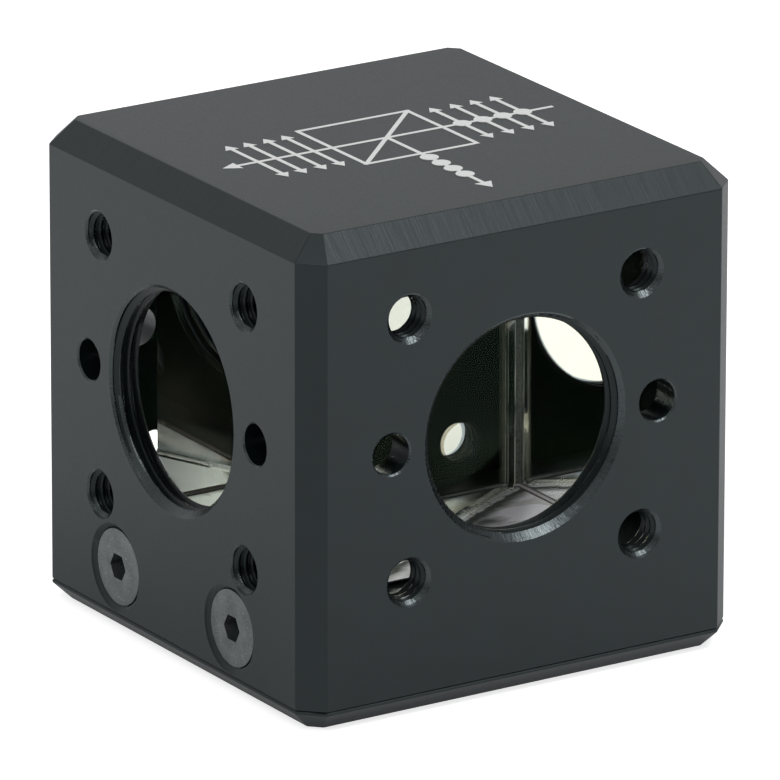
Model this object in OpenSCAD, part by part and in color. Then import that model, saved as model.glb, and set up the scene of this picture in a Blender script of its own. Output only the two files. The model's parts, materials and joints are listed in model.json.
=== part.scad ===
// Cage-mounted polarizing beamsplitter: a 20 mm wire-grid beamsplitter cube
// bonded to the plug of a base, inside a one-piece housing with four threaded
// ports. Flat-head screws through two opposite walls hold the base.
//
// Millimetres, +Z up. The origin is the centre of the base's underside.
// Light enters along -X through the right port. It leaves through the left
// port, transmitted, and through the front port (-Y), reflected.

/* [Housing] */
// Width of the square housing over two opposite faces
body_w = 29.85; // [29.2:0.05:34]
// Thickness of the four side walls
wall_t = 1.9; // [1.5:0.05:2.6]
// Thickness of the top wall
top_t = 1.9; // [1.2:0.05:3]
// Clear height between the glass cube and the top wall
cube_headroom = 1.69; // [0.3:0.01:4]
// Leg of the chamfers on the upright edges
upright_chamfer = 1.35; // [0.8:0.05:2]
// Leg of the chamfers round the top face
top_chamfer = 1.42; // [0.8:0.02:2]
// Leg of the broken edges where housing and base meet
seam_break = 0.09; // [0.04:0.01:0.16]
// Radius of the milled pocket's upright corners
pocket_r = 2.4; // [1.5:0.1:3]

/* [Ports] */
// Major diameter of the port thread
port_d = 13.59; // [12:0.01:14]
// Leg of the chamfer at the port's mouth
port_chamfer = 0.14; // [0.05:0.01:0.5]

/* [Cage holes] */
// Distance between neighbouring cage holes
cage_pitch = 16; // [15.6:0.1:16.6]
// Major diameter of the cage hole thread
cage_hole_d = 2.84; // [2:0.02:3]
// Leg of the chamfer at the cage hole's mouth
cage_chamfer = 0.11; // [0.05:0.01:0.16]

/* [Pin holes] */
// Distance between the two plain holes beside each port
pin_pitch = 18.4; // [17.6:0.1:19]
// Diameter of the plain holes
pin_hole_d = 2.48; // [1.8:0.02:2.8]
// Leg of the plain hole's broken edge
pin_chamfer = 0.1; // [0.03:0.01:0.2]

/* [Base] */
// Thickness of the base flange below the housing
flange_t = 1.29; // [1.25:0.01:1.6]
// Height of the plug above the flange
plug_h = 4.89; // [4.8:0.01:6]
// Leg of the chamfer round the flange's underside
flange_chamfer = 1.1; // [0.5:0.05:1.1]
// Clearance between the base's plug and the pocket, on each side
plug_clearance = 0.05; // [0.02:0.01:0.15]
// Major diameter of the post thread
post_d = 4; // [3:0.1:5]
// Depth of the post thread
post_depth = 4.6; // [3:0.1:4.8]
// Leg of the chamfer at the post hole's mouth
post_chamfer = 0.3; // [0.1:0.05:0.6]

/* [Base screws] */
// Distance between the two screws in one wall
screw_pitch = 12.7; // [11:0.1:12.8]
// Height of the screws above the flange
screw_rise = 2.86; // [2.8:0.01:2.95]
// Diameter of the countersink at the wall's face
sink_d = 5.4; // [5:0.05:5.4]
// Diameter of the screw's flat head
head_d = 4.7; // [4:0.05:4.9]
// Height of the head's straight rim
head_rim = 0.15; // [0.05:0.01:0.2]
// Distance across the flats of the hex socket
hex_af = 1.5; // [1:0.05:1.8]
// Depth of the hex socket
hex_depth = 0.9; // [0.5:0.05:1.1]
// Diameter of the screw's shank
shank_d = 2.5; // [2:0.05:2.6]
// Length of the screw, head included
screw_l = 6; // [4.5:0.1:7]
// Leg of the chamfer at the screw's tip
tip_chamfer = 0.3; // [0.1:0.05:0.5]
// Clearance round the shank in the housing wall
shank_clearance = 0.1; // [0.05:0.01:0.2]
// Clearance round the shank in the base's threads
thread_clearance = 0.01; // [0.005:0.005:0.03]
// Length of the threaded hole past the screw's tip
tip_space = 0.6; // [0.2:0.1:1]

/* [Beamsplitter cube] */
// Edge length of the glass cube
cube_side = 20; // [19:0.1:20.5]
// Thickness of the wire-grid plate between the prisms
grid_t = 0.7; // [0.5:0.05:1]
// Thickness of each cement layer beside the grid plate
cement_t = 0.03; // [0.02:0.005:0.05]
// Leg of the flats ground on the two upright edges where the diagonal ends
grid_edge_flat = 1.13; // [0.95:0.01:1.6]
// Leg of the bevels on the two other upright edges
upright_bevel = 0.45; // [0.2:0.05:0.8]
// Leg of the bevels round the cube's top and underside
rim_bevel = 0.25; // [0.1:0.05:0.5]
// Thickness of the adhesive under the cube
bond_t = 0.08; // [0.05:0.01:0.12]
// Diameter of the adhesive's middle spot
bond_d = 11; // [9:0.5:13]
// Diameter of the four spots round the middle one
bond_spot_d = 4.5; // [3:0.5:5]

/* [Hidden] */
$fn = 96;

// Cutters run past the faces they cut by this much
over = 0.5;

// Heights, stacked up from the base's underside
screw_h = flange_t + screw_rise;
plug_top = flange_t + plug_h;
cube_bottom = plug_top + bond_t;
axis_h = cube_bottom + cube_side / 2;
pocket_top = cube_bottom + cube_side + cube_headroom;
body_h = pocket_top + top_t;

half_w = body_w / 2;
pocket_w = body_w - 2 * wall_t;
plug_w = pocket_w - 2 * plug_clearance;
plug_r = pocket_r - plug_clearance;

shank_r = shank_d / 2;
clearance_r = shank_r + shank_clearance;
// The head's cone starts where the countersink is as wide as the head
head_seat = (sink_d - head_d) / 2;
head_cone = (head_d - shank_d) / 2;
head_top = head_seat - head_rim;

// The four sides, and the two whose walls the base screws go through
SIDES = ["right", "back", "left", "front"];
SCREWED_SIDES = ["right", "left"];
// A wall's pair of screws
PAIR = ["front", "back"];

black_anodised = [0.2, 0.22, 0.24];
black_oxide = [0.34, 0.35, 0.36];
clear_glass = [0.8, 0.9, 0.88, 0.35];
grid_coating = [0.4, 0.5, 0.45, 0.6];
clear_cement = [0.95, 0.95, 0.85, 0.5];
cured_adhesive = [0.85, 0.85, 0.8, 0.8];

// ---- shapes shared by several pieces ----

// Cross-section of a block: half_span wide to each side, from z0 to z1, with
// chamfered lower and upper corners
module section(half_span, z0, z1, lower, upper) {
  polygon([
    [-half_span + lower, z0], [half_span - lower, z0],
    [half_span, z0 + lower], [half_span, z1 - upper],
    [half_span - upper, z1], [-half_span + upper, z1],
    [-half_span, z1 - upper], [-half_span, z0 + lower]
  ]);
}

// A square block whose four faces and four cut upright corners all carry the
// same chamfers at the bottom and the top. cut_a is the leg cut off the two
// corners on the x = y diagonal, cut_b the leg of the other two.
module block(w, z0, z1, cut_a, cut_b, lower, upper) {
  half_spans = [w / 2, (w - cut_a) / sqrt(2), w / 2, (w - cut_b) / sqrt(2)];
  intersection_for (i = [0:3])
    rotate([0, 0, 45 * i])
      rotate([90, 0, 0])
        linear_extrude(height = 2 * w, center = true)
          section(half_spans[i], z0, z1, lower, upper);
}

module rounded_square(w, r) {
  square([w - 2 * r, w], center = true);
  square([w, w - 2 * r], center = true);
  for (x = [-1, 1], y = [-1, 1])
    translate([x * (w / 2 - r), y * (w / 2 - r)]) circle(r = r);
}

// The turn about Z that brings the +X face to a side
function turn_to(side) =
  side == "back" ? 90 : side == "left" ? 180 : side == "front" ? 270 : 0;

// Puts its children on a side's face at height z: their z axis points outwards,
// their x axis runs along the face and their y axis points up
module on_face(side, z) {
  rotate([0, 0, turn_to(side)])
    translate([half_w, 0, z])
      rotate([90, 0, 90]) children();
}

// A bore into its own z = 0 face, with a 45 degree chamfer at the mouth
module chamfered_bore(d, depth, chamfer) {
  translate([0, 0, -depth]) cylinder(d = d, h = depth + over);
  translate([0, 0, -chamfer])
    cylinder(r1 = d / 2, r2 = d / 2 + chamfer + over, h = chamfer + over);
}

// ---- base screws ----

// Puts its children where the front or the back screw goes into a wall
module screw_place(side, which) {
  along = (which == "back" ? 1 : -1) * cos(turn_to(side));
  on_face(side, screw_h) translate([along * screw_pitch / 2, 0, 0]) children();
}

// Countersink and clearance hole, as deep as the wall
module screw_sink() {
  sink = sink_d / 2 - clearance_r;
  translate([0, 0, -sink])
    cylinder(r1 = clearance_r, r2 = clearance_r + sink + over, h = sink + over);
  translate([0, 0, -wall_t - over]) cylinder(r = clearance_r, h = wall_t + over);
}

// Threaded hole in the plug, open to the head's cone where that reaches it
module screw_thread_hole() {
  reach = head_top + screw_l + tip_space;
  translate([0, 0, -reach]) cylinder(r = shank_r + thread_clearance, h = reach);
  sink = sink_d / 2 - shank_r - thread_clearance;
  translate([0, 0, -sink])
    cylinder(r1 = shank_r + thread_clearance, r2 = sink_d / 2, h = sink);
}

// Flat-head hex-socket screw, its head's top face at z = 0
module flat_head_screw() {
  difference() {
    union() {
      translate([0, 0, -head_rim]) cylinder(d = head_d, h = head_rim);
      translate([0, 0, -head_rim - head_cone])
        cylinder(r1 = shank_r, r2 = head_d / 2, h = head_cone);
      translate([0, 0, -screw_l + tip_chamfer])
        cylinder(r = shank_r, h = screw_l - tip_chamfer - head_rim);
      translate([0, 0, -screw_l])
        cylinder(r1 = shank_r - tip_chamfer, r2 = shank_r, h = tip_chamfer);
    }
    translate([0, 0, -hex_depth])
      cylinder(d = hex_af / cos(30), h = hex_depth + over, $fn = 6);
  }
}

module base_screw(side, which) {
  color(black_oxide)
    screw_place(side, which) translate([0, 0, -head_top]) flat_head_screw();
}

// ---- housing and base ----

module face_holes() {
  chamfered_bore(port_d, wall_t + over, port_chamfer);
  for (x = [-1, 1]) {
    for (y = [-1, 1])
      translate([x * cage_pitch / 2, y * cage_pitch / 2, 0])
        chamfered_bore(cage_hole_d, wall_t + over, cage_chamfer);
    translate([x * pin_pitch / 2, 0, 0])
      chamfered_bore(pin_hole_d, wall_t + over, pin_chamfer);
  }
}

// Shell milled from one block and open at the bottom
module housing() {
  color(black_anodised)
    difference() {
      block(body_w, flange_t, body_h, upright_chamfer, upright_chamfer, seam_break, top_chamfer);
      translate([0, 0, flange_t - over])
        linear_extrude(height = pocket_top - flange_t + over) rounded_square(pocket_w, pocket_r);
      for (side = SIDES) on_face(side, axis_h) face_holes();
      for (side = SCREWED_SIDES, which = PAIR) screw_place(side, which) screw_sink();
    }
}

// Flange that closes the housing, with the plug that the cube stands on
module base_plate() {
  color(black_anodised)
    difference() {
      union() {
        flange_land = flange_t - flange_chamfer;
        block(body_w, 0, flange_t, upright_chamfer, upright_chamfer,
              flange_chamfer, min(seam_break, flange_land / 2));
        translate([0, 0, flange_t - seam_break])
          linear_extrude(height = plug_top - flange_t + seam_break) rounded_square(plug_w, plug_r);
      }
      rotate([180, 0, 0]) chamfered_bore(post_d, post_depth, post_chamfer);
      for (side = SCREWED_SIDES, which = PAIR) screw_place(side, which) screw_thread_hole();
    }
}

// ---- beamsplitter cube ----

// The whole cube as one blank. Its diagonal runs from -X-Y to +X+Y.
module cube_blank() {
  translate([0, 0, cube_bottom])
    block(cube_side, 0, cube_side, grid_edge_flat, upright_bevel, rim_bevel, rim_bevel);
}

// The blank's slice between two distances from the diagonal plane, counted
// towards -X+Y
module cube_slice(from, to) {
  intersection() {
    cube_blank();
    rotate([0, 0, 45])
      translate([-cube_side, from, 0]) cube([2 * cube_side, to - from, body_h]);
  }
}

grid_half = grid_t / 2;
bonded_half = grid_half + cement_t;

// Prism behind the front and right ports
module input_prism() {
  color(clear_glass) cube_slice(-cube_side, -bonded_half);
}

// Prism behind the left and back ports
module output_prism() {
  color(clear_glass) cube_slice(bonded_half, cube_side);
}

module wire_grid_plate() {
  color(grid_coating) cube_slice(-grid_half, grid_half);
}

module input_cement() {
  color(clear_cement) cube_slice(-bonded_half, -grid_half);
}

module output_cement() {
  color(clear_cement) cube_slice(grid_half, bonded_half);
}

// Film that joins the cube to the plug: one middle spot run into four others
module cube_adhesive() {
  color(cured_adhesive)
    translate([0, 0, plug_top])
      linear_extrude(height = bond_t) {
        circle(d = bond_d);
        for (side = SIDES)
          rotate([0, 0, turn_to(side) + 45]) translate([bond_d / 2, 0]) circle(d = bond_spot_d);
      }
}

housing();
base_plate();
input_prism();
output_prism();
wire_grid_plate();
input_cement();
output_cement();
cube_adhesive();
base_screw("left", "front");  // screw_left_front
base_screw("left", "back");  // screw_left_back
base_screw("right", "front");  // screw_right_front
base_screw("right", "back");  // screw_right_back
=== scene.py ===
"""Looks of the polarizing beamsplitter cube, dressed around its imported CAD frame.

The frame is +Z up in metres; sizes written here are in millimetres and go through MM.
"""

import json
import math
from collections import namedtuple

import bmesh
import bpy
from mathutils import Matrix, Vector


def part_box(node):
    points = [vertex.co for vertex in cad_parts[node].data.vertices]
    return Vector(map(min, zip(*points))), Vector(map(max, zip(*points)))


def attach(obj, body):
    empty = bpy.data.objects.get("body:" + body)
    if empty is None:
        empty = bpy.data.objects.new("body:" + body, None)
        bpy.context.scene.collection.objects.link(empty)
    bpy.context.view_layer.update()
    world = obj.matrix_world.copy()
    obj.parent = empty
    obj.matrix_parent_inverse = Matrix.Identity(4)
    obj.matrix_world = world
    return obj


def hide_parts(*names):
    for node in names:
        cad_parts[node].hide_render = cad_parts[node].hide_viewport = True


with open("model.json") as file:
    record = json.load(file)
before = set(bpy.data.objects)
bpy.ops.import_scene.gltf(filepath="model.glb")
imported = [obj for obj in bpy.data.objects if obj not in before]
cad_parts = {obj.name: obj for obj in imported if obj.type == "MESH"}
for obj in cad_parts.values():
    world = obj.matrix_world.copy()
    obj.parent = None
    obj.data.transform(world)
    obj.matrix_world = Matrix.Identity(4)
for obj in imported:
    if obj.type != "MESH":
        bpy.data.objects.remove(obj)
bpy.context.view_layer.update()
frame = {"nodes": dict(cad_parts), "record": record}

MM = 0.001

# ---------------------------------------------------------------- sizes read from the frame
MOUNTS = {mount["name"]: mount for mount in frame["record"]["mounts"]}
SIDE_TURNS = {"right": 0, "back": 90, "left": 180, "front": 270}
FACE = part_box("housing")[1].x / MM
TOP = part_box("housing")[1].z / MM
AXIS = MOUNTS["port_right"]["pos_m"][2] / MM
PORT_R = MOUNTS["port_right"]["dims"]["r_mm"]
CAGE_R = MOUNTS["cage_holes_right"]["dims"]["hole_r_mm"]
CAGE_REACH = MOUNTS["cage_holes_right"]["dims"]["spacing_x_mm"] / 2
PIN_REACH = MOUNTS["pin_holes_right"]["dims"]["spacing_x_mm"] / 2
PORT_CENTRE = (0.0, 0.0)
CAGE_CENTRES = [(u * CAGE_REACH, v * CAGE_REACH) for u in (-1, 1) for v in (-1, 1)]
PIN_CENTRES = [(u * PIN_REACH, 0.0) for u in (-1, 1)]
TAP_R = MOUNTS["post_tap"]["dims"]["r_mm"]
SINK_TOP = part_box("screw_left_front")[1].z / MM + 0.5   # the sides' other holes lie above this

# ---------------------------------------------------------------- sizes as in the part's source
TAP_DEPTH = 4.6
TAP_CHAMFER = 0.3
WALL = 1.9
PORT_CHAMFER = 0.14
CAGE_CHAMFER = 0.11
UNDERSIDE_Z = 6.26          # the glass cube's underside
BEVEL_TOP = 6.51            # the top of its lower bevels

# ---------------------------------------------------------------- looks, in millimetres
EDGE_BREAK = 0.05           # rounding of the outer edges
SCREW_BREAK = 0.07          # and of the screws' edges
EDGE_ANGLE = math.radians(20)    # an outer edge that turns by more than this is rounded
SHARP_ANGLE = math.radians(32)   # an edge that turns by more than this isn't shaded smooth
FLAT_ANGLE = math.radians(0.4)   # facets that turn by less than this are one face
PORT_CREST_R = 6.45
PORT_PITCH = 0.635
CAGE_CREST_R = 1.19
CAGE_PITCH = 0.5
TAP_CREST_R = 1.66
TAP_PITCH = 0.7
ROOT_CLEAR = 0.004          # a thread's roots stay this far inside its bore
MOUTH_DEPTH = 0.16          # a hole's mouth is no deeper than this
RIM_HEIGHT = 2.0            # the chamfers round the top lie within this of it
COATING_GAP = 0.004         # air left between a prism and the cemented plate
CEMENT_REACH = 0.36         # the cement layers from the cube's diagonal
GRID_OFFSET = 0.1           # the wire grid from the cube's diagonal, towards the input prism
TO_INPUT = Vector((1, -1, 0)).normalized()
ACROSS_CUBE = (0.7071, -0.7071, 0.0)   # the same for the shaders
ALONG_CUBE = (0.5, 0.5, 0.0)           # along the diagonal, towards the back right

BLASTED = (0.0028, 0.0052, 0.0066, 1)
BARE_BLACK = (0.003, 0.0045, 0.005, 1)
COOL_GLOSS = (0.84, 0.97, 1.0, 1)
GREEN_GLOSS = (0.4, 1.0, 0.6, 1)
GLASS_INDEX = 1.517
COATING_TINT = (0.02, 0.07, 0.032, 1)

# Under the cube: spots as x, y and radius that the adhesive wets, and spots of painted light, pale pools
# where light through the ports falls
WET_SPOTS = ((4.7, 1.3, 1.0), (-5.0, -2.0, 2.0))
LIT_POOL_SPOTS = ((8.8, 5.8, 0.9), (7.4, 1.7, 2.2), (2.0, 7.0, 4.0), (-4.0, 6.0, 4.0), (0.0, -4.0, 4.5))
WET_BAND = (0.75, 0.95, 1.4, 2.4)   # across the cube: starts, is full, thins out, ends


# ---------------------------------------------------------------- node helpers
class Graph:
    """Adds nodes to one node tree: a socket given as an input is linked, anything else is set."""

    def __init__(self, tree):
        self.tree = tree
        tree.nodes.clear()

    def add(self, kind, inputs=None, **settings):
        node = self.tree.nodes.new(kind)
        for key, value in settings.items():
            setattr(node, key, value)
        for key, value in (inputs or {}).items():
            socket = node.inputs[key]
            if isinstance(value, bpy.types.NodeSocket):
                self.tree.links.new(value, socket)
            else:
                socket.default_value = value
        return node

    def place_mm(self):
        """Object coordinates in millimetres."""
        coordinates = self.add("ShaderNodeTexCoord").outputs["Object"]
        return self.add("ShaderNodeMapping", {"Vector": coordinates, "Scale": (1 / MM,) * 3}).outputs[0]

    def stretched(self, vector, scale):
        return self.add("ShaderNodeMapping", {"Vector": vector, "Scale": scale}).outputs[0]

    def noise(self, vector, scale, detail=3.0, roughness=0.6):
        inputs = {"Vector": vector, "Scale": scale, "Detail": detail, "Roughness": roughness}
        return self.add("ShaderNodeTexNoise", inputs).outputs["Fac"]

    def math(self, operation, first, second=0.0):
        return self.add("ShaderNodeMath", {0: first, 1: second}, operation=operation).outputs[0]

    def dot(self, vector, direction):
        inputs = {0: vector, 1: direction}
        return self.add("ShaderNodeVectorMath", inputs, operation="DOT_PRODUCT").outputs["Value"]

    def distance(self, vector, point):
        inputs = {0: vector, 1: point}
        return self.add("ShaderNodeVectorMath", inputs, operation="DISTANCE").outputs["Value"]

    def axis(self, vector, name):
        return self.add("ShaderNodeSeparateXYZ", {"Vector": vector}).outputs[name]

    def remap(self, value, low, high, to_low, to_high):
        inputs = {"Value": value, "From Min": low, "From Max": high, "To Min": to_low, "To Max": to_high}
        return self.add("ShaderNodeMapRange", inputs).outputs[0]

    def blend(self, factor, first, second):
        node = self.add("ShaderNodeMix", {"Factor": factor}, data_type="RGBA")
        for socket, value in ((node.inputs[6], first), (node.inputs[7], second)):
            if isinstance(value, bpy.types.NodeSocket):
                self.tree.links.new(value, socket)
            else:
                socket.default_value = value
        return node.outputs[2]

    def bump(self, height, strength, depth_mm):
        inputs = {"Height": height, "Strength": strength, "Distance": depth_mm * MM}
        return self.add("ShaderNodeBump", inputs).outputs[0]

    def mix_shaders(self, factor, first, second):
        return self.add("ShaderNodeMixShader", {0: factor, 1: first, 2: second}).outputs[0]

    def output(self, shader):
        self.add("ShaderNodeOutputMaterial", {"Surface": shader})


def new_material(name):
    material = bpy.data.materials.new(name)
    material.use_nodes = True
    return material, Graph(material.node_tree)


# ---------------------------------------------------------------- materials
def anodised_material(name, colour, roughness, grain_depth, ior=1.5, gloss=COOL_GLOSS):
    """Bead-blasted, black-anodised aluminium: fine grain and faint clouding."""
    material, graph = new_material(name)
    place = graph.place_mm()
    grain = graph.noise(place, 9.0, 4.0, 0.7)
    cloud = graph.noise(place, 0.35, 2.0)
    lighter = tuple(c * 1.35 for c in colour[:3]) + (1,)
    tint = graph.blend(graph.remap(cloud, 0.35, 0.65, 0.0, 1.0), colour, lighter)
    rough = graph.remap(grain, 0.3, 0.7, roughness - 0.04, roughness + 0.05)
    shader = graph.add("ShaderNodeBsdfPrincipled", {
        "Base Color": tint,
        "Roughness": rough,
        "IOR": ior,
        "Specular Tint": gloss,
        "Normal": graph.bump(grain, 0.35, grain_depth),
    })
    graph.output(shader.outputs[0])
    return material


def milled_material(name, colour, roughness, ior=1.5, chatter=0.012):
    """Anodised cut left by a tool: lines across the cut, from the marks UV map in millimetres."""
    material, graph = new_material(name)
    marks = graph.add("ShaderNodeUVMap", uv_map="marks").outputs[0]
    lines = graph.noise(graph.stretched(marks, (7.0, 0.25, 1.0)), 1.0, 3.0, 0.75)
    waves = graph.noise(graph.stretched(marks, (1.2, 0.1, 1.0)), 1.0, 2.0)
    height = graph.math("ADD", lines, graph.math("MULTIPLY", waves, 0.6))
    shader = graph.add("ShaderNodeBsdfPrincipled", {
        "Base Color": colour,
        "Roughness": graph.remap(lines, 0.3, 0.7, roughness - 0.06, roughness + 0.08),
        "IOR": ior,
        "Specular Tint": COOL_GLOSS,
        "Normal": graph.bump(height, 0.5, chatter),
    })
    graph.output(shader.outputs[0])
    return material


def thread_material():
    """Anodised thread flanks: smoother than the blasted faces, with painted shade darkening them deep in
    the hole.
    """
    material, graph = new_material("anodised_thread")
    place = graph.place_mm()
    sides = graph.add("ShaderNodeVectorMath", {0: place}, operation="ABSOLUTE").outputs["Vector"]
    reach = graph.math("MAXIMUM", graph.axis(sides, "X"), graph.axis(sides, "Y"))
    depth = graph.math("SUBTRACT", FACE, reach)
    grain = graph.noise(place, 5.0, 3.0)
    shader = graph.add("ShaderNodeBsdfPrincipled", {
        # painted shade: the colour goes towards black deeper below the face, where little light reaches
        "Base Color": graph.blend(graph.remap(depth, 0.4, 2.0, 0.0, 0.9), BLASTED, (0.0, 0.0, 0.0, 1)),
        "Roughness": graph.remap(grain, 0.3, 0.7, 0.26, 0.34),
        "IOR": 1.4,
        "Specular Tint": COOL_GLOSS,
        "Normal": graph.bump(grain, 0.1, 0.004),
    })
    graph.output(shader.outputs[0])
    return material


def screw_material():
    """Black-oxide steel, worn a little lighter where the grain stands proud."""
    material, graph = new_material("black_oxide_steel")
    place = graph.place_mm()
    grain = graph.noise(place, 5.0, 5.0, 0.75)
    patches = graph.remap(graph.noise(place, 0.9, 3.0), 0.35, 0.65, 0.0, 0.5)
    worn = graph.math("ADD", graph.remap(grain, 0.3, 0.7, 0.0, 0.5), patches)
    tint = graph.blend(worn, (0.108, 0.122, 0.122, 1), (0.215, 0.235, 0.235, 1))
    specks = graph.remap(graph.noise(place, 8.0, 4.0, 0.7), 0.6, 0.68, 0.0, 0.8)
    tint = graph.blend(specks, tint, (0.5, 0.54, 0.56, 1))
    shader = graph.add("ShaderNodeBsdfPrincipled", {
        "Base Color": tint,
        "Metallic": 1.0,
        "Roughness": graph.remap(grain, 0.3, 0.7, 0.42, 0.6),
        "Normal": graph.bump(grain, 0.4, 0.01),
    })
    graph.output(shader.outputs[0])
    return material


def print_material():
    """Silk-screened white ink with a fine, uneven film."""
    material, graph = new_material("white_ink")
    place = graph.place_mm()
    speckle = graph.noise(place, 6.0, 4.0, 0.7)
    film = graph.remap(speckle, 0.3, 0.7, 0, 1)
    tint = graph.blend(film, (0.74, 0.76, 0.75, 1), (0.86, 0.87, 0.86, 1))
    shader = graph.add("ShaderNodeBsdfPrincipled", {
        "Base Color": tint,
        "Roughness": 0.6,
        "Normal": graph.bump(speckle, 0.3, 0.01),
    })
    graph.output(shader.outputs[0])
    return material


def polished_glass_material():
    """Prism glass under an antireflection coating, which leaves a weak green reflection."""
    material, graph = new_material("coated_glass")
    place = graph.place_mm()
    smear = graph.noise(place, 0.5, 3.0)
    shader = graph.add("ShaderNodeBsdfPrincipled", {
        "Base Color": (1, 1, 1, 1),
        "Roughness": graph.remap(smear, 0.55, 0.8, 0.0, 0.012),
        "IOR": GLASS_INDEX,
        "Specular Tint": COATING_TINT,
        "Transmission Weight": 1.0,
    })
    graph.output(shader.outputs[0])
    return material


def wire_grid_material():
    """Aluminium wires finer than the light: half of it is reflected and half goes through."""
    material, graph = new_material("wire_grid_mirror")
    place = graph.place_mm()
    dust = graph.remap(graph.noise(place, 1.5, 3.0), 0.62, 0.8, 0.0, 0.02)
    mirror = graph.add("ShaderNodeBsdfGlossy", {"Color": (0.64, 0.74, 0.78, 1), "Roughness": dust})
    clear = graph.add("ShaderNodeBsdfTransparent", {"Color": (0.80, 0.76, 0.57, 1)})
    graph.output(graph.mix_shaders(0.5, clear.outputs[0], mirror.outputs[0]))
    return material


def clear_material():
    """Cement of the prism's own index: it can't be seen from inside the glass."""
    material, graph = new_material("index_matched_cement")
    clear = graph.add("ShaderNodeBsdfTransparent", {"Color": (0.99, 0.992, 0.985, 1)})
    graph.output(clear.outputs[0])
    return material


def ground_material(name, dark, light, contrast_low, contrast_high, scale):
    """Ground, unpolished glass: fine pits of two greys."""
    material, graph = new_material(name)
    place = graph.place_mm()
    pits = graph.noise(place, scale, 5.0, 0.75)
    tint = graph.blend(graph.remap(pits, contrast_low, contrast_high, 0, 1), dark, light)
    shader = graph.add("ShaderNodeBsdfPrincipled", {
        "Base Color": tint,
        "Roughness": 0.7,
        "Normal": graph.bump(pits, 0.4, 0.02),
    })
    graph.output(shader.outputs[0])
    return material


def outside_spots(graph, place, spots, ragged):
    """How far a place on the underside is outside the nearest spot, with a ragged outline."""
    nearest = None
    for x, y, radius in spots:
        away = graph.math("SUBTRACT", graph.distance(place, (x, y, UNDERSIDE_Z)), radius)
        nearest = away if nearest is None else graph.math("MINIMUM", nearest, away)
    return graph.math("ADD", nearest, ragged)


def dry_underside(graph, place, across, pits, wander):
    """Ground glass over air: greenish under the output prism, lilac under the other, with painted pools of
    light in spots and painted shade outside them.
    """
    grain = graph.remap(pits, 0.3, 0.7, 0, 1)
    green = graph.blend(grain, (0.76, 0.80, 0.78, 1), (0.90, 0.95, 0.93, 1))
    lilac = graph.blend(grain, (0.84, 0.82, 0.93, 1), (0.95, 0.93, 1.0, 1))
    tint = graph.blend(graph.remap(across, -0.3, 0.9, 0, 1), green, lilac)
    ragged = graph.remap(wander, 0.3, 0.7, -0.15, 0.15)
    # painted light: pale pools inside the spots; outside them painted shade darkens the tint
    lit_pool = graph.remap(outside_spots(graph, place, LIT_POOL_SPOTS, ragged), -0.06, 0.06, 1.0, 0.0)
    return graph.blend(lit_pool, graph.blend(0.35, tint, (0.3, 0.3, 0.27, 1)), tint)


def wetted_underside(graph, place, across, along, wander, tint):
    """Darkens what the adhesive wets: spots, a band beside the plate and the output prism's far end."""
    ragged = graph.remap(wander, 0.3, 0.7, -0.3, 0.3)
    soaked = graph.remap(outside_spots(graph, place, WET_SPOTS, ragged), -0.7, 0.7, 0.85, 0.0)
    ripple = graph.math("ADD", across, graph.remap(wander, 0.3, 0.7, -0.25, 0.25))
    begin, full, thinning, end = WET_BAND
    rise = graph.remap(ripple, begin, full, 0.0, 0.9)
    fall = graph.remap(ripple, thinning, end, 1.0, 0.0)
    wet = graph.math("MAXIMUM", soaked, graph.math("MULTIPLY", rise, fall))
    tint = graph.blend(wet, tint, (0.04, 0.05, 0.045, 1))
    far_end = graph.remap(along, 6.6, 7.6, 0.0, 0.95)
    output_side = graph.remap(across, -0.4, 0.0, 1.0, 0.0)
    dusky = graph.math("MULTIPLY", far_end, output_side)
    return graph.blend(dusky, tint, (0.09, 0.10, 0.07, 1))


def cement_lines(graph, place, across, along, broken, tint):
    """The cement that squeezed out at the plate's sides, with a painted white glint towards its far end."""
    from_output = graph.math("ABSOLUTE", graph.math("ADD", across, CEMENT_REACH + 0.22))
    from_input = graph.math("ABSOLUTE", graph.math("SUBTRACT", across, CEMENT_REACH + 0.04))
    wavy = graph.remap(graph.noise(place, 3.0, 3.0), 0.3, 0.7, -0.03, 0.03)
    line = graph.remap(graph.math("ADD", from_output, wavy), 0.24, 0.34, 1.0, 0.0)
    # painted glint: the line turns white towards its far end, a painted reflection of the bright room
    reached = graph.math("ADD", along, graph.math("MULTIPLY", wavy, 12.0))
    painted_glint = graph.remap(reached, 5.8, 6.1, 0.0, 1.0)
    cement = graph.blend(painted_glint, (0.015, 0.02, 0.02, 1), (1.0, 1.0, 1.0, 1))
    tint = graph.blend(line, tint, cement)
    line = graph.math("MULTIPLY", graph.remap(from_input, 0.02, 0.06, 0.6, 0.0), broken)
    return graph.blend(line, tint, (0.1, 0.1, 0.1, 1))


def cement_bubbles(graph, place, across, broken, tint):
    """Rings and drops of cement near the plate."""
    pattern = {"Vector": place, "Scale": 1.3, "Randomness": 0.9}
    cells = graph.add("ShaderNodeTexVoronoi", pattern).outputs["Distance"]
    from_ring = graph.math("ABSOLUTE", graph.math("SUBTRACT", cells, 0.3))
    ring = graph.remap(from_ring, 0.03, 0.09, 1.0, 0.0)
    near_joint = graph.remap(graph.math("ABSOLUTE", across), 0.5, 0.9, 1.0, 0.0)
    ring = graph.math("MULTIPLY", graph.math("MULTIPLY", ring, near_joint), broken)
    tint = graph.blend(ring, tint, (0.05, 0.05, 0.045, 1))
    drop = graph.math("MULTIPLY", graph.remap(cells, 0.16, 0.24, 1.0, 0.0), near_joint)
    return graph.blend(graph.math("MULTIPLY", drop, broken), tint, (1.0, 1.0, 1.0, 1))


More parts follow.
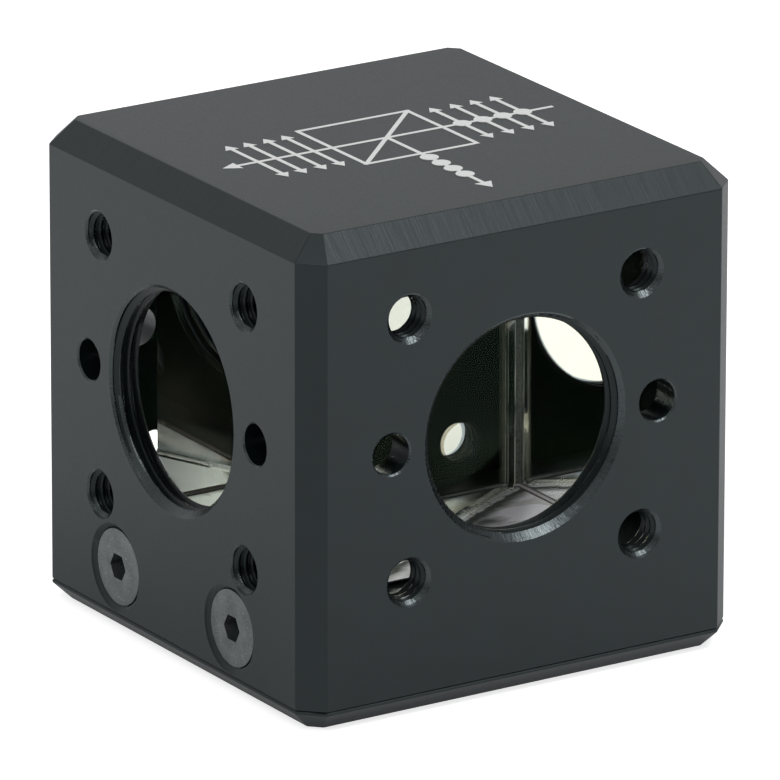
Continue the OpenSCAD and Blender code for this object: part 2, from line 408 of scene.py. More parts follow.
def underside_material():
    """Ground underside: pale where air lies under it, dark where the clear adhesive wets it."""
    material, graph = new_material("bonded_underside")
    place = graph.place_mm()
    wander = graph.noise(place, 0.9, 3.0)
    pits = graph.noise(place, 7.0, 5.0, 0.75)
    across = graph.dot(place, ACROSS_CUBE)
    along = graph.dot(place, ALONG_CUBE)
    broken = graph.remap(graph.noise(place, 1.6, 4.0), 0.38, 0.5, 0.0, 1.0)
    tint = dry_underside(graph, place, across, pits, wander)
    tint = wetted_underside(graph, place, across, along, wander, tint)
    tint = cement_lines(graph, place, across, along, broken, tint)
    tint = cement_bubbles(graph, place, across, broken, tint)
    normal = graph.bump(pits, 0.3, 0.02)
    matt = graph.add("ShaderNodeBsdfDiffuse", {"Color": tint, "Normal": normal})
    sheen = graph.add("ShaderNodeBsdfGlossy", {"Color": tint, "Roughness": 0.38, "Normal": normal})
    graph.output(graph.mix_shaders(0.55, matt.outputs[0], sheen.outputs[0]))
    return material


def bevel_material():
    """The cube's fine-ground lower bevels: pale, darker along each edge, with painted shade on the back
    one.
    """
    material, graph = new_material("ground_bevel")
    place = graph.place_mm()
    pits = graph.noise(place, 6.0, 5.0, 0.75)
    tint = graph.blend(graph.remap(pits, 0.3, 0.7, 0, 1), (0.46, 0.45, 0.48, 1), (0.62, 0.61, 0.66, 1))
    middle = (UNDERSIDE_Z + BEVEL_TOP) / 2
    half = (BEVEL_TOP - UNDERSIDE_Z) / 2
    off_middle = graph.math("ABSOLUTE", graph.math("SUBTRACT", graph.axis(place, "Z"), middle))
    edge = graph.remap(off_middle, half - 0.1, half - 0.04, 0.0, 0.9)
    tint = graph.blend(edge, tint, (0.04, 0.04, 0.045, 1))
    # painted shade: the back bevel is darker than the others
    shaded_back = graph.remap(graph.axis(place, "Y"), 9.5, 9.7, 0.0, 0.85)
    tint = graph.blend(shaded_back, tint, (0.05, 0.05, 0.045, 1))
    matt = graph.add("ShaderNodeBsdfDiffuse", {"Color": tint, "Normal": graph.bump(pits, 0.3, 0.02)})
    sheen = graph.add("ShaderNodeBsdfGlossy", {"Color": tint, "Roughness": 0.45})
    graph.output(graph.mix_shaders(0.55, matt.outputs[0], sheen.outputs[0]))
    return material


def plate_end_material():
    """The plate's sawn ends, wetted clear by cement, with dirt, waviness and a dark foot."""
    material, graph = new_material("plate_end")
    place = graph.place_mm()
    waves = graph.noise(graph.stretched(place, (1.0, 1.0, 0.35)), 2.2, 3.0)
    dirt = graph.remap(graph.noise(place, 3.5, 5.0, 0.75), 0.56, 0.68, 0.0, 0.8)
    across = graph.math("ABSOLUTE", graph.dot(place, ACROSS_CUBE))
    from_cement = graph.math("ABSOLUTE", graph.math("SUBTRACT", across, CEMENT_REACH))
    line = graph.remap(from_cement, 0.02, 0.06, 1.0, 0.0)
    gaps = graph.noise(graph.stretched(place, (1.0, 1.0, 0.5)), 1.1, 3.0)
    broken = graph.remap(gaps, 0.35, 0.6, 0.25, 1.0)
    cover = graph.math("MAXIMUM", dirt, graph.math("MULTIPLY", line, broken))
    ragged = graph.remap(graph.noise(place, 2.5, 3.0), 0.3, 0.7, -0.3, 0.3)
    height = graph.math("ADD", graph.axis(place, "Z"), ragged)
    cover = graph.math("MAXIMUM", cover, graph.remap(height, 9.4, 9.8, 0.93, 0.0))
    tint = graph.blend(line, (0.04, 0.045, 0.04, 1), (0.75, 0.77, 0.72, 1))
    glass = graph.add("ShaderNodeBsdfPrincipled", {
        "Base Color": (1, 1, 1, 1),
        "Roughness": 0.03,
        "IOR": GLASS_INDEX,
        "Transmission Weight": 1.0,
        "Normal": graph.bump(waves, 0.25, 0.02),
    })
    specks = graph.add("ShaderNodeBsdfDiffuse", {"Color": tint})
    graph.output(graph.mix_shaders(cover, glass.outputs[0], specks.outputs[0]))
    return material


def adhesive_material():
    """Cured adhesive: pale and slightly cloudy."""
    material, graph = new_material("cured_adhesive")
    place = graph.place_mm()
    cloud = graph.noise(place, 1.2, 4.0)
    tint = graph.blend(graph.remap(cloud, 0.3, 0.7, 0, 1), (0.55, 0.55, 0.50, 1), (0.72, 0.72, 0.68, 1))
    shader = graph.add("ShaderNodeBsdfPrincipled", {"Base Color": tint, "Roughness": 0.35, "IOR": 1.5})
    graph.output(shader.outputs[0])
    return material


# ---------------------------------------------------------------- mesh helpers
def new_object(name, bm, materials, replaced=()):
    """Turns a bmesh into a piece that rides on the body and stands for the CAD nodes named."""
    mesh = bpy.data.meshes.new(name)
    bm.to_mesh(mesh)
    bm.free()
    obj = bpy.data.objects.new(name, mesh)
    bpy.context.scene.collection.objects.link(obj)
    for material in materials:
        mesh.materials.append(material)
    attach(obj, "root")
    if replaced:
        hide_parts(*replaced)
    return obj


def smooth(obj, weighted=True):
    """Smooth shading that keeps sharp edges, with flat faces kept flat beside their rounded edges."""
    mesh = obj.data
    mesh.polygons.foreach_set("use_smooth", [True] * len(mesh.polygons))
    mesh.set_sharp_from_angle(angle=SHARP_ANGLE)
    if weighted:
        modifier = obj.modifiers.new("flat_faces", "WEIGHTED_NORMAL")
        modifier.keep_sharp = True


def join_flat_faces(bm):
    bmesh.ops.dissolve_limit(bm, angle_limit=FLAT_ANGLE, verts=bm.verts[:], edges=bm.edges[:])


def node_bmesh(node):
    """A CAD node's surface as a bmesh, with the export's split vertices joined again."""
    bm = bmesh.new()
    bm.from_mesh(frame["nodes"][node].data)
    bmesh.ops.remove_doubles(bm, verts=bm.verts[:], dist=1e-7)
    join_flat_faces(bm)
    bm.normal_update()
    return bm


def on_envelope(bm, slack_mm):
    """The faces whose plane touches the outside of the whole shape."""
    points = [v.co for v in bm.verts]
    reach = {}
    found = set()
    for face in bm.faces:
        key = tuple(round(c, 3) for c in face.normal)
        if key not in reach:
            reach[key] = max(face.normal.dot(p) for p in points)
        if face.normal.dot(face.verts[0].co) > reach[key] - slack_mm * MM:
            found.add(face)
    return found


def break_outer_edges(bm, width_mm):
    """Rounds the outer edges, which a real part never has dead sharp."""
    outer = on_envelope(bm, 0.001)
    edges = []
    for edge in bm.edges:
        if len(edge.link_faces) == 2 and all(face in outer for face in edge.link_faces):
            if edge.calc_face_angle() > EDGE_ANGLE:
                edges.append(edge)
    bmesh.ops.bevel(bm, geom=edges, offset=width_mm * MM, segments=2, profile=0.5, affect="EDGES")
    bm.normal_update()


def side_frame(side):
    """Local u, v, w to the part's frame: u along the side, v up from the optical axis, w outward."""
    turn = math.radians(SIDE_TURNS[side])
    along = Vector((-math.sin(turn), math.cos(turn), 0))
    outward = Vector((math.cos(turn), math.sin(turn), 0))
    columns = Matrix((along, Vector((0, 0, 1)), outward)).transposed().to_4x4()
    return Matrix.Translation((0, 0, AXIS * MM)) @ columns


def unwrapped(angle, near):
    """The same angle, within half a turn of another one."""
    return angle - 2 * math.pi * round((angle - near) / (2 * math.pi))


# ---------------------------------------------------------------- threads
# One pitch of a cut thread as (share of the pitch, share of the depth): 0 at a crest, 1 in a root.
THREAD_PROFILE = (
    (0.0, 0.06), (0.03, 0.0), (0.125, 0.0), (0.22, 0.0), (0.25, 0.06), (0.40, 0.5),
    (0.54, 0.94), (0.58, 1.0), (0.66, 1.0), (0.70, 0.94), (0.85, 0.5), (1.0, 0.06),
)
ROWS_PER_PITCH = len(THREAD_PROFILE) - 1
RIDGE_ROUNDING = 0.008
LINING = 0.024              # from the roots to the lining's back, which lies inside the wall
ROOT_SLACK = 0.001          # the ends open no further than this past the roots
CONE_SLACK = 0.012          # a face this close to the mouth's cone belongs to it

# A thread's radii, its pitch and its depths below the face. The mouth is a 45 degree cone that would be
# mouth_r wide at depth 0, and the far end opens to end_r. Segments counts the facets round the hole.
ThreadCut = namedtuple("ThreadCut", "crest_r root_r pitch start end mouth_r end_r segments")


def thread_share(turns):
    """Depth share of the thread at a distance in pitches."""
    place = turns - math.floor(turns)
    for (start, low), (end, high) in zip(THREAD_PROFILE, THREAD_PROFILE[1:]):
        if place <= end:
            return low + (high - low) * (place - start) / (end - start)
    return THREAD_PROFILE[-1][1]


def soft_max(first, second):
    """The larger of two radii, with the ridge between them rounded."""
    top = max(first, second)
    total = sum(math.exp((r - top) / RIDGE_ROUNDING) for r in (first, second))
    return top + RIDGE_ROUNDING * math.log(total)


def thread_columns(bm, place, cut):
    """Columns of vertices round the hole: down the thread, then back up behind the lining."""
    rows = []
    count = math.ceil((cut.end - cut.start) / cut.pitch) + 3
    for index in range(count * ROWS_PER_PITCH + 1):
        cycle, step = divmod(index, ROWS_PER_PITCH)
        rows.append(cycle - 2 + THREAD_PROFILE[step][0])
    hidden_r = cut.root_r + LINING
    columns = []
    for segment in range(cut.segments):
        turn = segment / cut.segments
        angle = -2 * math.pi * turn
        column = []
        for row in rows:
            depth = min(max(cut.start + (row + turn) * cut.pitch, cut.start), cut.end)
            share = thread_share((depth - cut.start) / cut.pitch - turn)
            flank = cut.crest_r + (cut.root_r - cut.crest_r) * share
            radius = max(soft_max(flank, cut.mouth_r - depth), cut.end_r - (cut.end - depth))
            column.append((min(radius, cut.root_r + ROOT_SLACK), depth))
        column += [(hidden_r, cut.end), (hidden_r, cut.start)]
        columns.append([
            bm.verts.new(place @ Vector((r * MM * math.cos(angle), r * MM * math.sin(angle), -d * MM)))
            for r, d in column
        ])
    return columns


def add_thread(bm, place, cut):
    """Adds the lining of a threaded hole: depths run inward from the face along -w."""
    columns = thread_columns(bm, place, cut)
    inner = len(columns[0]) - 2
    for index, here in enumerate(columns):
        last = index == len(columns) - 1
        there = columns[0] if last else columns[index + 1]
        shift = ROWS_PER_PITCH if last else 0
        for row in range(inner - 1):
            near = min(row + shift, inner - 1)
            far = min(row + 1 + shift, inner - 1)
            corners = [here[row], there[near], there[far], here[row + 1]]
            unique = [v for i, v in enumerate(corners) if v not in corners[:i]]
            if len(unique) > 2:
                bm.faces.new(unique)
        for row in range(inner - 1, len(here)):
            following = (row + 1) % len(here)
            bm.faces.new([here[row], there[row], there[following], here[following]])


def paint_mouths(bm, places, cut):
    """Gives the 45 degree mouth the turned finish, with its marks running round the hole."""
    uv = bm.loops.layers.uv.new("marks")
    inverses = [place.inverted() for place in places]
    for face in bm.faces:
        centre = face.calc_center_median()
        inverse = min(inverses, key=lambda m: (m @ centre).xy.length)
        local = inverse @ centre / MM
        off_cone = abs(local.xy.length - (cut.mouth_r + local.z))
        if off_cone > CONE_SLACK or local.z < -(cut.mouth_r - cut.crest_r):
            continue
        face.material_index = 1
        start_angle = math.atan2(local.y, local.x)
        for loop in face.loops:
            point = inverse @ loop.vert.co / MM
            angle = unwrapped(math.atan2(point.y, point.x), start_angle)
            loop[uv].uv = (angle * cut.mouth_r, -point.z)


def thread_piece(name, places, cut):
    bm = bmesh.new()
    for place in places:
        add_thread(bm, place, cut)
    bmesh.ops.remove_doubles(bm, verts=bm.verts[:], dist=2e-8)
    bmesh.ops.dissolve_degenerate(bm, dist=1e-8, edges=bm.edges[:])
    bmesh.ops.recalc_face_normals(bm, faces=bm.faces[:])
    paint_mouths(bm, places, cut)
    obj = new_object(name, bm, [THREAD, CUT_MOUTH])
    smooth(obj, weighted=False)


PORT_CUT = ThreadCut(
    crest_r=PORT_CREST_R, root_r=PORT_R - ROOT_CLEAR, pitch=PORT_PITCH,
    start=PORT_CHAMFER, end=WALL - 0.005,
    mouth_r=PORT_R + PORT_CHAMFER, end_r=PORT_CREST_R + 0.25, segments=192,
)
CAGE_CUT = ThreadCut(
    crest_r=CAGE_CREST_R, root_r=CAGE_R - ROOT_CLEAR, pitch=CAGE_PITCH,
    start=CAGE_CHAMFER, end=WALL - 0.005,
    mouth_r=CAGE_R + CAGE_CHAMFER, end_r=CAGE_CREST_R + 0.1, segments=64,
)
POST_CUT = ThreadCut(
    crest_r=TAP_CREST_R, root_r=TAP_R - ROOT_CLEAR, pitch=TAP_PITCH,
    start=TAP_CHAMFER, end=TAP_DEPTH - 0.01,
    mouth_r=TAP_R + TAP_CHAMFER, end_r=TAP_CREST_R, segments=96,
)


def make_threads():
    face = Matrix.Translation((0, 0, FACE * MM))
    for side in SIDE_TURNS:
        mouth = side_frame(side) @ face
        thread_piece("port_thread_" + side, [mouth], PORT_CUT)
        corners = [mouth @ Matrix.Translation((u * MM, v * MM, 0)) for u, v in CAGE_CENTRES]
        thread_piece("cage_threads_" + side, corners, CAGE_CUT)
    thread_piece("post_thread", [Matrix.Rotation(math.pi, 4, "X")], POST_CUT)


# ---------------------------------------------------------------- housing, base and screws
PLAIN, RIM, WITHIN, MOUTH, BORE = range(5)   # the housing's material slots


def nearest_side(point):
    """A place in the frame of the side that it lies furthest out on."""
    best = max(SIDE_TURNS, key=lambda side: (side_frame(side).inverted() @ point).z)
    return side_frame(best).inverted() @ point


def hole_near(local):
    """The hole a mouth's face belongs to, where the port counts from its rim."""
    def away(hole):
        if hole == PORT_CENTRE:
            return abs(math.hypot(local.x, local.y) - PORT_R)
        return math.hypot(local.x - hole[0], local.y - hole[1])

    return min([PORT_CENTRE] + CAGE_CENTRES + PIN_CENTRES, key=away)


def is_rim(face, centre):
    """The milled chamfers round the top."""
    tilt = abs(face.normal.z)
    square_on = min(abs(face.normal.x), abs(face.normal.y)) < 0.1
    return 0.3 < tilt < 0.9 and square_on and centre.z > TOP - RIM_HEIGHT


def mark_rim(face, uv):
    """Runs the cutter's marks along the chamfer."""
    lengthwise = 0 if abs(face.normal.y) > abs(face.normal.x) else 1
    for loop in face.loops:
        loop[uv].uv = (loop.vert.co[lengthwise] / MM, loop.vert.co.z / MM)


def mark_mouth(face, uv, centre):
    """Runs the tool's marks round the hole."""
    local = nearest_side(centre * MM) / MM
    hole = hole_near(local)
    hole_r = PORT_R if hole == PORT_CENTRE else CAGE_R
    start = math.atan2(local.y - hole[1], local.x - hole[0])
    for loop in face.loops:
        point = nearest_side(loop.vert.co) / MM
        u, v = point.x - hole[0], point.y - hole[1]
        angle = unwrapped(math.atan2(v, u), start)
        loop[uv].uv = (angle * hole_r, math.hypot(u, v))


def paint_regions(bm):
    """Sets each face's slot, and the marks of milled and turned faces."""
    uv = bm.loops.layers.uv.new("marks")
    outer = on_envelope(bm, EDGE_BREAK + 0.02)
    for face in bm.faces:
        centre = face.calc_center_median() / MM
        reach = max(abs(centre.x), abs(centre.y))
        in_side_hole = face not in outer and centre.z > SINK_TOP
        if face in outer and is_rim(face, centre):
            face.material_index = RIM
            mark_rim(face, uv)
        elif in_side_hole and reach > FACE - MOUTH_DEPTH:
            face.material_index = MOUTH
            mark_mouth(face, uv, centre)
        elif face not in outer and reach < FACE - WALL + 0.01:
            face.material_index = WITHIN
        elif in_side_hole and reach < FACE - MOUTH_DEPTH:
            face.material_index = BORE
        else:
            face.material_index = PLAIN


def make_housing():
    bm = node_bmesh("housing")
    break_outer_edges(bm, EDGE_BREAK)
    paint_regions(bm)
    materials = [BLASTED_FACE, CUT_EDGE, INSIDE, CUT_MOUTH, THREAD]
    obj = new_object("housing_body", bm, materials, ["housing"])
    smooth(obj)


def make_base():
    bm = node_bmesh("base_plate")
    break_outer_edges(bm, EDGE_BREAK)
    obj = new_object("base_flange", bm, [BLASTED_FACE], ["base_plate"])
    smooth(obj)


def make_screws():
    for side in ("left", "right"):
        for end in ("front", "back"):
            node = f"screw_{side}_{end}"
            bm = node_bmesh(node)
            break_outer_edges(bm, SCREW_BREAK)
            obj = new_object("cap_" + node, bm, [SCREW], [node])
            smooth(obj)


# ---------------------------------------------------------------- the glass cube
def paint_prism(bm, outward):
    """Opens the air gap, and sets the slots: 0 polished, 1 joint, 2 underside, 3 ground, 4 lower bevels."""
    for face in bm.faces:
        normal = face.normal
        if normal.z < -0.9:
            face.material_index = 2
        elif normal.z > 0.9:
            face.material_index = 3
        elif normal.dot(outward) < -0.99:
            face.material_index = 1
            for vert in face.verts:
                vert.co += outward * COATING_GAP * MM
        elif max(abs(normal.x), abs(normal.y)) > 0.99:
            face.material_index = 0
        elif normal.z < -0.3:
            face.material_index = 4
        else:
            face.material_index = 3


def make_cube():
    materials = [GLASS, CEMENT, UNDERSIDE, GROUND, BEVEL]
    for node, outward in (("input_prism", TO_INPUT), ("output_prism", -TO_INPUT)):
        bm = node_bmesh(node)
        paint_prism(bm, outward)
        new_object("glass_" + node, bm, materials, [node])
    make_plate_half("grid_plate_input_half", ["wire_grid_plate", "input_cement"], 1, WIRE_GRID)
    make_plate_half("grid_plate_output_half", ["output_cement"], -1, CEMENT)


def plate_hull():
    """The cemented plate with both cement layers, as one convex block."""
    bm = bmesh.new()
    for node in ("wire_grid_plate", "input_cement", "output_cement"):
        for vert in frame["nodes"][node].data.vertices:
            bm.verts.new(vert.co)
    hull = bmesh.ops.convex_hull(bm, input=bm.verts[:])
    spare = hull["geom_interior"] + hull["geom_unused"]
    loose = {part for part in spare if isinstance(part, bmesh.types.BMVert)}
    bmesh.ops.delete(bm, geom=list(loose), context="VERTS")
    join_flat_faces(bm)
    return bm


def make_plate_half(name, nodes, sign, joint):
    """The block on one side of the grid; slots: 0 cement, 1 the grid, 2 ends, 3 top and underside."""
    bm = plate_hull()
    across = TO_INPUT * sign
    cut = across * (GRID_OFFSET * sign + COATING_GAP / 2) * MM
    whole = bm.verts[:] + bm.edges[:] + bm.faces[:]
    bmesh.ops.bisect_plane(bm, geom=whole, dist=1e-8, plane_co=cut, plane_no=across, clear_inner=True)
    bmesh.ops.holes_fill(bm, edges=[e for e in bm.edges if e.is_boundary], sides=0)
    bmesh.ops.recalc_face_normals(bm, faces=bm.faces[:])
    for face in bm.faces:
        facing = face.normal.dot(across)
        if facing > 0.99:
            face.material_index = 0
        elif facing < -0.99:
            face.material_index = 1
        elif abs(face.normal.z) > 0.9:
            face.material_index = 3
        else:
            face.material_index = 2
    new_object(name, bm, [CEMENT, joint, PLATE_END, UNDERSIDE], nodes)


def make_adhesive():
    """The adhesive's film, with its top lowered by the gap that keeps it clear of the cube."""
    bm = node_bmesh("cube_adhesive")
    for vert in bm.verts:
        if vert.co.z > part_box("cube_adhesive")[1].z - COATING_GAP * MM:
            vert.co.z -= COATING_GAP * MM
    obj = new_object("adhesive_film", bm, [ADHESIVE], ["cube_adhesive"])
    smooth(obj, weighted=False)


# ---------------------------------------------------------------- the printed beam diagram
INK_W = 0.28
INK_H = 0.010
INK_STEP = 0.0007
INK_SUNK = 0.005            # how far each slab reaches into the top
HEAD = (0.78, 0.9)          # an arrowhead's length and width
BEAM_HEAD = (1.05, 1.15)
HEAD_COVER = 0.7            # the share of the head's length ahead of its shaft
BEAM_HEAD_COVER = 0.8
DIAGRAM_Y = 0.1
SQUARE = (-3.74, -3.6, 3.93, 3.93)
BEAM = (-11.25, 11.53)
DROP_X = 0.05
DROP_END = -11.24
LEFT_BARS = (-8.85, -7.6, -6.25, -5.0)
RIGHT_BARS = (5.3, 6.75, 8.15, 9.55)
BAR_ENDS = (-3.27, 3.7)
BEADS = (-4.48, -5.76, -7.03, -8.3)
DOT_R = 0.56
DOT_STEPS = 32


class Ink:
    """Builds the print from thin raised slabs, each a hair higher than the one before it."""

    def __init__(self):
        self.bm = bmesh.new()
        self.height = INK_H

    def slab(self, outline):
        self.height += INK_STEP
        low, high = (TOP - INK_SUNK) * MM, (TOP + self.height) * MM
        rings = [[self.bm.verts.new((x * MM, y * MM, z)) for x, y in outline] for z in (low, high)]
        self.bm.faces.new(rings[0][::-1])
        self.bm.faces.new(rings[1])
        count = len(outline)
        for i in range(count):
            j = (i + 1) % count
            self.bm.faces.new([rings[0][i], rings[0][j], rings[1][j], rings[1][i]])

    def stroke(self, start, end, width=INK_W):
        start, end = Vector(start), Vector(end)
        along = (end - start).normalized()
        side = Vector((-along.y, along.x)) * width / 2
        start, end = start - along * width / 2, end + along * width / 2
        self.slab([start - side, end - side, end + side, start + side])

    def head(self, tip, towards, size):
        tip, along = Vector(tip), Vector(towards).normalized()
        side = Vector((-along.y, along.x)) * size[1] / 2
        back = tip - along * size[0]
        self.slab([tip, back + side, back - side])

    def disc(self, centre, radius):
        angles = [2 * math.pi * i / DOT_STEPS for i in range(DOT_STEPS)]
        x, y = centre
        self.slab([(x + radius * math.cos(angle), y + radius * math.sin(angle)) for angle in angles])


def make_diagram():
    ink = Ink()
    x0, y0, x1, y1 = SQUARE
    corners = [(x0, y0), (x1, y0), (x1, y1), (x0, y1)]
    for start, end in zip(corners, corners[1:] + corners[:1]):
        ink.stroke(start, end)
    ink.stroke((x0, y0), (x1, y1))
    ink.stroke((BEAM[0] + BEAM_HEAD[0] * BEAM_HEAD_COVER, DIAGRAM_Y), (BEAM[1], DIAGRAM_Y))
    ink.head((BEAM[0], DIAGRAM_Y), (-1, 0), BEAM_HEAD)
    ink.stroke((DROP_X, DIAGRAM_Y), (DROP_X, DROP_END + BEAM_HEAD[0] * BEAM_HEAD_COVER))
    ink.head((DROP_X, DROP_END), (0, -1), BEAM_HEAD)
    low, high = BAR_ENDS
    for x in LEFT_BARS + RIGHT_BARS:
        ink.stroke((x, low + HEAD[0] * HEAD_COVER), (x, high - HEAD[0] * HEAD_COVER))
        ink.head((x, high), (0, 1), HEAD)
        ink.head((x, low), (0, -1), HEAD)
    for x in RIGHT_BARS:
        ink.disc((x, DIAGRAM_Y), DOT_R)
    for y in BEADS:
        ink.disc((DROP_X, y), DOT_R)
    new_object("beam_diagram", ink.bm, [INK])


# ---------------------------------------------------------------- floor, light and camera
FLOOR_HALF = 3.0                # metres
UNDER_PART_HALF = 13.81         # no paper lies under the part, so that its underside can be seen
UNDER_PART_CORNER = 0.09        # the share of that half cut off at each corner
FLOOR_GLOW = 0.6                # for mirrored and refracted rays
FLOOR_SEEN = 0.72               # for the camera
SHADOW_SPOT = (-80.0, -35.0, 0.0)  # painted shadow of the part on the paper, for mirrored rays: darkest here
SHADOW_REACH = 138.0
SHADOW_LEVEL = 0.1

AWAY_FROM_CAMERA = (0.5, 0.8, 0.0)
ROOM_LEVEL = 0.45               # the room's own light
OVERHEAD_LEVEL = 4.0            # the softboxes over the part, for light that enters the cube
MIRRORED_ROOM = (0.45, 0.85)    # what polished things see of the room: at the sides, behind the part
MIRRORED_FRONT = 0.4            # and the share of it that is left where the camera stands
# name, direction from the part, distance and side length in metres, radiance
LAMPS = (
    ("overhead", (0.31, -0.40, 0.86), 0.75, 0.18, 14.0),
    ("fill_left", (-0.57, -0.29, 0.77), 0.8, 0.30, 4.4),
)

# The camera as fitted to the photo's edges, in millimetres and pixels
CAMERA_AZIMUTH = math.radians(-32.653)
CAMERA_ELEVATION = math.radians(18.397)
CAMERA_ROLL = math.radians(0.111)
CAMERA_DISTANCE = 681.56
CAMERA_AIM = (0.0088, 0.0, 15.998)
FRAME_PX = 780
FOCAL_PX = 11578
CENTRE_PX = (386.81, 362.91)
SENSOR = 36
CLIP_RANGE = (0.01, 20)         # metres


def floor_material():
    """White for the camera and for mirrored and refracted rays, with the part's shadow painted into what
    mirrored and refracted rays see; plain pale paper for the rest.
    """
    material, graph = new_material("white_sweep")
    rays = graph.add("ShaderNodeLightPath").outputs
    seen = graph.math("MAXIMUM", rays["Is Camera Ray"], rays["Is Glossy Ray"])
    seen = graph.math("MAXIMUM", seen, rays["Is Transmission Ray"])
    ground = graph.place_mm()
    # painted shadow of the part, darkest at the shadow spot
    painted_shadow = graph.add("ShaderNodeMapRange", {
        "Value": graph.distance(ground, SHADOW_SPOT),
        "From Min": 0.0,
        "From Max": SHADOW_REACH,
        "To Min": SHADOW_LEVEL,
        "To Max": 1.0,
    }, interpolation_type="SMOOTHSTEP").outputs[0]
    # painted contact shadow close round the part
    contact_shadow = graph.remap(graph.distance(ground, (0.0, 0.0, 0.0)), 18.0, 40.0, 0.7, 1.0)
    painted_shadow = graph.math("MULTIPLY", painted_shadow, contact_shadow)
    # the painted shadows are seen by mirrored rays only
    mirrored = graph.math("MAXIMUM", painted_shadow, graph.math("SUBTRACT", 1.0, rays["Is Glossy Ray"]))
    # painted shadow for refracted rays: the paper brighter to the left, darker to the right where the
    # part's shadow falls
    unshadowed_left = graph.remap(graph.axis(ground, "X"), -5.0, 15.0, 0.95, -0.1)
    lift = graph.math("MULTIPLY", rays["Is Transmission Ray"], unshadowed_left)
    direct = graph.math("MULTIPLY", rays["Is Camera Ray"], FLOOR_SEEN - FLOOR_GLOW)
    lift = graph.math("ADD", lift, direct)
    strength = graph.math("ADD", graph.math("MULTIPLY", seen, FLOOR_GLOW), lift)
    strength = graph.math("MULTIPLY", strength, mirrored)
    paper = graph.add("ShaderNodeBsdfDiffuse", {"Color": (0.8, 0.8, 0.8, 1)})
    white = graph.add("ShaderNodeEmission", {"Color": (1, 1, 1, 1), "Strength": strength})
    both = graph.add("ShaderNodeAddShader", {0: paper.outputs[0], 1: white.outputs[0]})
    graph.output(both.outputs[0])
    return material


def make_floor():
    """A ring from the octagonal opening under the part to the floor's outline."""
    bm = bmesh.new()
    short = 1 - UNDER_PART_CORNER
    quarter = ((1, -short), (1, short), (short, 1), (-short, 1))
    outline = quarter + tuple((-x, -y) for x, y in quarter)
    outer, inner = [
        [bm.verts.new((x * half, y * half, 0)) for x, y in outline]
        for half in (FLOOR_HALF, UNDER_PART_HALF * MM)
    ]
    for index in range(len(outline)):
        following = (index + 1) % len(outline)
        bm.faces.new((outer[index], outer[following], inner[following], inner[index]))
    mesh = bpy.data.meshes.new("floor")
    bm.to_mesh(mesh)
    bm.free()
    floor = bpy.data.objects.new("floor", mesh)
    bpy.context.scene.collection.objects.link(floor)
    mesh.materials.append(floor_material())


def make_world():
    """An even, dim room that is white for whatever looks straight at it."""
    world = bpy.data.worlds.new("studio")
    bpy.context.scene.world = world
    world.use_nodes = True
    graph = Graph(world.node_tree)
    rays = graph.add("ShaderNodeLightPath").outputs
    direction = graph.add("ShaderNodeTexCoord").outputs["Generated"]
    behind = graph.dot(direction, AWAY_FROM_CAMERA)
    mirrored = graph.remap(behind, 0.1, 0.9, *MIRRORED_ROOM)
    camera_side = graph.remap(behind, -0.95, -0.4, MIRRORED_FRONT, 1.0)
    mirrored = graph.math("MULTIPLY", mirrored, camera_side)
    through = graph.remap(graph.axis(direction, "Z"), 0.0, 0.2, 1.0, OVERHEAD_LEVEL)
    through = graph.math("MULTIPLY", rays["Is Transmission Ray"], through)
    seen = graph.math("MAXIMUM", rays["Is Camera Ray"], through)
    glossy = graph.math("MULTIPLY", rays["Is Glossy Ray"], graph.math("SUBTRACT", mirrored, ROOM_LEVEL))
    dim = graph.math("ADD", glossy, ROOM_LEVEL)
    strength = graph.math("MAXIMUM", dim, seen)
    background = graph.add("ShaderNodeBackground", {"Color": (1, 1, 1, 1), "Strength": strength})
    graph.add("ShaderNodeOutputWorld", {"Surface": background.outputs[0]})


def make_lamps():
    aim = Vector((0, 0, AXIS * MM))
    for name, direction, distance, size, radiance in LAMPS:
        light = bpy.data.lights.new(name, "AREA")
        light.shape = "SQUARE"
        light.size = size
        light.energy = radiance * math.pi * size * size
        lamp = bpy.data.objects.new(name, light)
        towards = Vector(direction).normalized()
        lamp.location = aim + towards * distance
        lamp.rotation_mode = "QUATERNION"
        lamp.rotation_quaternion = towards.to_track_quat("Z", "Y")
        bpy.context.scene.collection.objects.link(lamp)


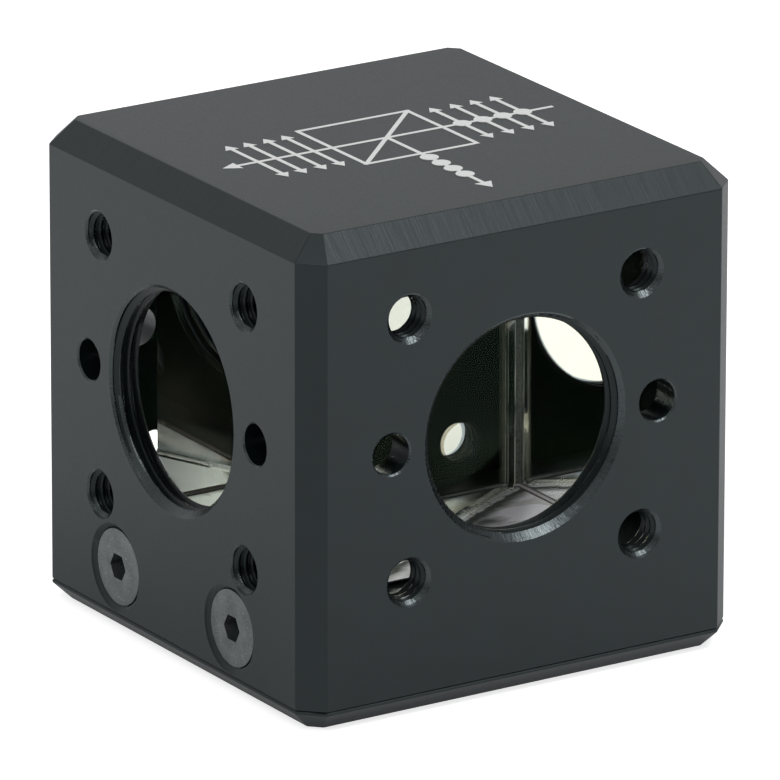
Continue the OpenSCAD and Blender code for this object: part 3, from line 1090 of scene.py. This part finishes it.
def make_camera():
    azimuth, elevation, roll = CAMERA_AZIMUTH, CAMERA_ELEVATION, CAMERA_ROLL
    level = math.cos(elevation)
    back = Vector((math.sin(azimuth) * level, -math.cos(azimuth) * level, math.sin(elevation)))
    right = Vector((math.cos(azimuth), math.sin(azimuth), 0))
    up = back.cross(right)
    rolled_right = right * math.cos(roll) + up * math.sin(roll)
    rolled_up = up * math.cos(roll) - right * math.sin(roll)
    data = bpy.data.cameras.new("camera")
    data.sensor_width = SENSOR
    data.lens = FOCAL_PX / FRAME_PX * SENSOR
    data.shift_x = (FRAME_PX / 2 - CENTRE_PX[0]) / FRAME_PX
    data.shift_y = (CENTRE_PX[1] - FRAME_PX / 2) / FRAME_PX
    data.clip_start, data.clip_end = CLIP_RANGE
    camera = bpy.data.objects.new("camera", data)
    camera.rotation_mode = "QUATERNION"
    camera.rotation_quaternion = Matrix((rolled_right, rolled_up, back)).transposed().to_quaternion()
    camera.location = (Vector(CAMERA_AIM) + back * CAMERA_DISTANCE) * MM
    bpy.context.scene.collection.objects.link(camera)
    bpy.context.scene.camera = camera


# ---------------------------------------------------------------- build
BLASTED_FACE = anodised_material("anodised_blasted", BLASTED, 0.46, 0.012)
CUT_EDGE = milled_material("anodised_milled", BLASTED, 0.40)
CUT_MOUTH = milled_material("anodised_turned", BLASTED, 0.26, 1.75, 0.045)
INSIDE = anodised_material("anodised_inside", BARE_BLACK, 0.6, 0.02, 1.25, GREEN_GLOSS)
THREAD = thread_material()
SCREW = screw_material()
INK = print_material()
GLASS = polished_glass_material()
WIRE_GRID = wire_grid_material()
CEMENT = clear_material()
UNDERSIDE = underside_material()
BEVEL = bevel_material()
GROUND = ground_material("ground_glass", (0.03, 0.034, 0.03, 1), (0.16, 0.17, 0.155, 1), 0.35, 0.7, 6.0)
PLATE_END = plate_end_material()
ADHESIVE = adhesive_material()

make_housing()
make_base()
make_screws()
make_threads()
make_cube()
make_adhesive()
make_diagram()
make_floor()
make_world()
make_lamps()
make_camera()
bpy.context.scene.view_settings.view_transform = "Standard"
bpy.context.scene.cycles.transparent_max_bounces = 32
